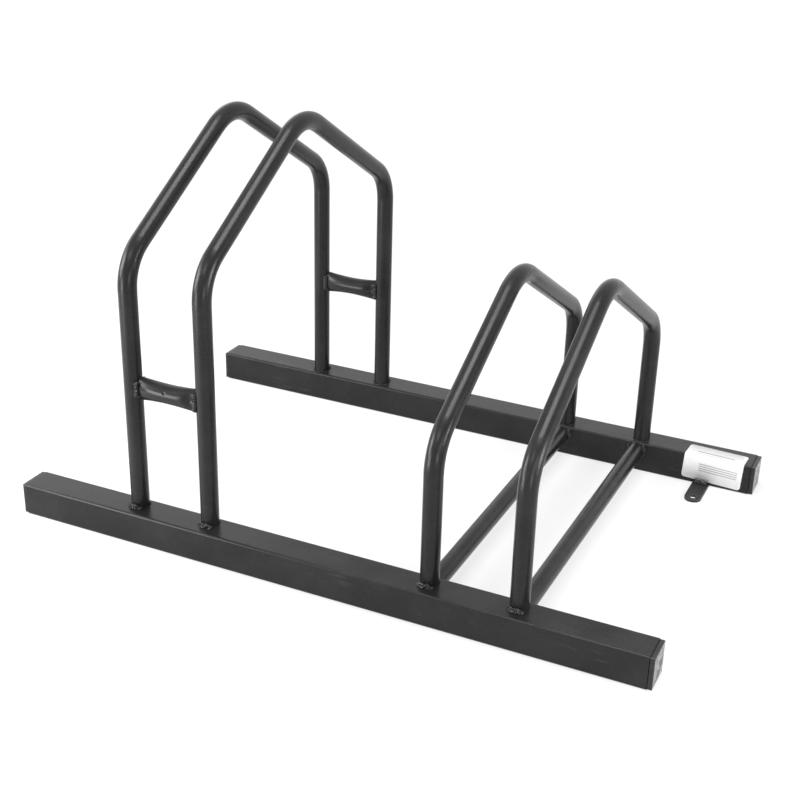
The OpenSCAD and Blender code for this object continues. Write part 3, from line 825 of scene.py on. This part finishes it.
class RACK_OT_sticker(bpy.types.Operator):
    """Wraps a blank white sticker over the rear rail's front top edge"""

    bl_idname = "rack.sticker"
    bl_label = "Sticker"

    def execute(self, context):
        own = context.scene.rack_sticker
        low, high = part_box("rear_rail")
        front, top = low.y, high.z
        arc = RAIL_CORNER * math.pi / 2
        long = own.drop + arc + own.lap
        bm = bmesh.new()
        bmesh.ops.create_grid(bm, x_segments=1, y_segments=1, size=0.5)
        bmesh.ops.scale(bm, verts=bm.verts, vec=(own.width, long, 1))
        bmesh.ops.bevel(bm, geom=bm.verts, offset=own.corner, affect="VERTICES", segments=8, profile=0.5, material=-1)
        bmesh.ops.translate(bm, verts=bm.verts, vec=(own.width / 2, long / 2, 0))
        pivot = Vector((own.width / 2, own.drop, 0))
        lean = Matrix.Rotation(own.tilt, 3, "Z")
        bmesh.ops.rotate(bm, verts=bm.verts, cent=pivot, matrix=lean)
        for step in range(STICKER_FOLD_STEPS + 1):
            cut_mesh(bm, (0, own.drop + arc * (step / STICKER_FOLD_STEPS), 0), (0, 1, 0))
        for step in range(1, STICKER_COLUMNS):
            cut_mesh(bm, (own.width * step / STICKER_COLUMNS, 0, 0), (1, 0, 0))
        layer = bm.loops.layers.uv.new("Flat")
        for face in bm.faces:
            for loop in face.loops:
                loop[layer].uv = (lean.inverted() @ (loop.vert.co - pivot) + pivot).xy
        reach = RAIL_CORNER + STICKER_GAP
        for v in bm.verts:
            x, t = v.co.x, v.co.y - own.drop
            turn = min(max(t / arc, 0), 1) * math.pi / 2
            y = front + RAIL_CORNER - reach * math.cos(turn) + max(t - arc, 0)
            z = top - RAIL_CORNER + reach * math.sin(turn) + min(t, 0)
            v.co = (own.left + x, y, z)
        bm.normal_update()
        mesh = bpy.data.meshes.new("rail_sticker")
        bm.to_mesh(mesh)
        bm.free()
        piece = finish_piece(mesh, "rail_sticker", sticker_paper())
        wall = piece.modifiers.new("Paper thickness", "SOLIDIFY")
        wall.thickness = own.thickness
        wall.offset = 1
        return {"FINISHED"}


# ---------------------------------------------------------------- stage


def add_lamp(name, place, aim, width, height, watts):
    """A rectangular lamp that shines from its place to its aim and that the camera doesn't see."""
    data = bpy.data.lights.new(name, "AREA")
    data.shape = "RECTANGLE"
    data.size, data.size_y, data.energy = width, height, watts
    lamp = bpy.data.objects.new(name, data)
    turn = (Vector(aim) - Vector(place)).to_track_quat("-Z", "Y")
    lamp.matrix_world = Matrix.Translation(place) @ turn.to_matrix().to_4x4()
    lamp.visible_camera = False
    bpy.context.scene.collection.objects.link(lamp)


def seen_rays(tree, x, y):
    """1 for rays by which the camera, a reflection or glass sees a surface."""
    rays = add_node(tree, "ShaderNodeLightPath", x, y)
    indirect = maths(tree, x + 200, y - 150, "MAXIMUM",
                     rays.outputs["Is Glossy Ray"], rays.outputs["Is Transmission Ray"])
    return maths(tree, x + 350, y, "MAXIMUM", rays.outputs["Is Camera Ray"], indirect)


def studio_world(strength):
    """Even light from all round; the camera and reflections see plain white."""
    world = bpy.data.worlds.new("Studio")
    world.use_nodes = True
    tree = world.node_tree
    tree.nodes.clear()
    seen = seen_rays(tree, -700, 0)
    light = add_node(tree, "ShaderNodeBackground", -200, 100)
    light.inputs["Strength"].default_value = strength
    plain = add_node(tree, "ShaderNodeBackground", -200, -100)
    both = add_node(tree, "ShaderNodeMixShader", 0, 0)
    out = add_node(tree, "ShaderNodeOutputWorld", 200, 0)
    for back in (light, plain):
        back.inputs["Color"].default_value = (1, 1, 1, 1)
    feed(tree, both.inputs[0], seen)
    feed(tree, both.inputs[1], light.outputs[0])
    feed(tree, both.inputs[2], plain.outputs[0])
    feed(tree, out.inputs[0], both.outputs[0])
    return world


class RACK_OT_stage(bpy.types.Operator):
    """Sets the camera, the pale floor and the soft lamps"""

    bl_idname = "rack.stage"
    bl_label = "Stage"

    def execute(self, context):
        own = context.scene.rack_stage
        scene = context.scene
        a, e, r = own.azimuth, own.elevation, own.roll
        back = Vector((math.sin(a) * math.cos(e), -math.cos(a) * math.cos(e), math.sin(e)))
        right = Vector((math.cos(a), math.sin(a), 0))
        up = back.cross(right)
        rolled_right = right * math.cos(r) + up * math.sin(r)
        rolled_up = up * math.cos(r) - right * math.sin(r)
        lens = bpy.data.cameras.new("Camera")
        lens.sensor_fit, lens.sensor_width, lens.lens = "HORIZONTAL", SENSOR_WIDTH, own.lens
        camera = bpy.data.objects.new("Camera", lens)
        turn = Matrix((rolled_right, rolled_up, back)).transposed().to_4x4()
        camera.matrix_world = Matrix.Translation(Vector(own.target) + back * own.distance) @ turn
        scene.collection.objects.link(camera)
        scene.camera = camera

        bm = bmesh.new()
        bmesh.ops.create_grid(bm, x_segments=1, y_segments=1, size=FLOOR_HALF)
        mesh = bpy.data.meshes.new("studio_floor")
        bm.to_mesh(mesh)
        bm.free()
        floor = bpy.data.objects.new("studio_floor", mesh)
        material, tree, surface, where = start_material("Studio floor")
        feed(tree, surface.inputs["Base Color"], tuple(own.floor))
        surface.inputs["Roughness"].default_value = 0.9
        surface.inputs["Specular IOR Level"].default_value = 0.0
        away = add_node(tree, "ShaderNodeVectorMath", 0, -300, "Distance from the rack", operation="LENGTH")
        feed(tree, away.inputs[0], where)
        feed(tree, surface.inputs["Alpha"], spread(tree, 300, -300, away.outputs["Value"], *FLOOR_FADE, 1.0, 0.0))
        plain = add_node(tree, "ShaderNodeEmission", 700, 300, "Plain white")
        lifted = add_node(tree, "ShaderNodeMixShader", 900, 200)
        feed(tree, lifted.inputs[0], maths(tree, 500, 400, "MULTIPLY", seen_rays(tree, 0, 400), FLOOR_LIFT))
        feed(tree, lifted.inputs[1], surface.outputs[0])
        feed(tree, lifted.inputs[2], plain.outputs[0])
        feed(tree, tree.nodes["Material Output"].inputs["Surface"], lifted.outputs[0])
        mesh.materials.append(material)
        scene.collection.objects.link(floor)

        scene.world = studio_world(own.sky)
        for lamp in LAMPS:
            add_lamp(*lamp)
        scene.view_settings.view_transform = "Standard"
        return {"FINISHED"}


class RACK_PT_panel(bpy.types.Panel):
    """Lists the rack's settings and steps"""

    bl_idname = "RACK_PT_panel"
    bl_label = "Floor Rack"
    bl_space_type = "VIEW_3D"
    bl_region_type = "UI"
    bl_category = "Floor Rack"

    def draw(self, context):
        for title, group in SETTINGS.items():
            box = self.layout.box()
            own = getattr(context.scene, title)
            for name in group.__annotations__:
                box.prop(own, name)
        for operator in OPERATORS:
            self.layout.operator(operator.bl_idname)


SETTINGS = {
    "rack_paint": RackPaintSettings,
    "rack_bars": RackBarSettings,
    "rack_welds": RackWeldSettings,
    "rack_sticker": RackStickerSettings,
    "rack_stage": RackStageSettings,
}
OPERATORS = (
    RACK_OT_rails, RACK_OT_hoops, RACK_OT_wheel_bars, RACK_OT_floor_tubes, RACK_OT_end_plugs, RACK_OT_anchor_tab,
    RACK_OT_foot_welds, RACK_OT_bar_welds, RACK_OT_floor_tube_welds, RACK_OT_sticker, RACK_OT_stage,
)


def register():
    for each in (*SETTINGS.values(), *OPERATORS, RACK_PT_panel):
        bpy.utils.register_class(each)
    for name, group in SETTINGS.items():
        setattr(bpy.types.Scene, name, bpy.props.PointerProperty(type=group))


def unregister():
    for name in SETTINGS:
        delattr(bpy.types.Scene, name)
    for each in reversed((*SETTINGS.values(), *OPERATORS, RACK_PT_panel)):
        bpy.utils.unregister_class(each)


def main():
    register()
    bpy.ops.rack.rails()
    bpy.ops.rack.hoops()
    bpy.ops.rack.wheel_bars()
    bpy.ops.rack.floor_tubes()
    bpy.ops.rack.end_plugs()
    bpy.ops.rack.anchor_tab()
    bpy.ops.rack.foot_welds()
    bpy.ops.rack.bar_welds()
    bpy.ops.rack.floor_tube_welds()
    bpy.ops.rack.sticker()
    bpy.ops.rack.stage()


if __name__ == "__main__":
    main()
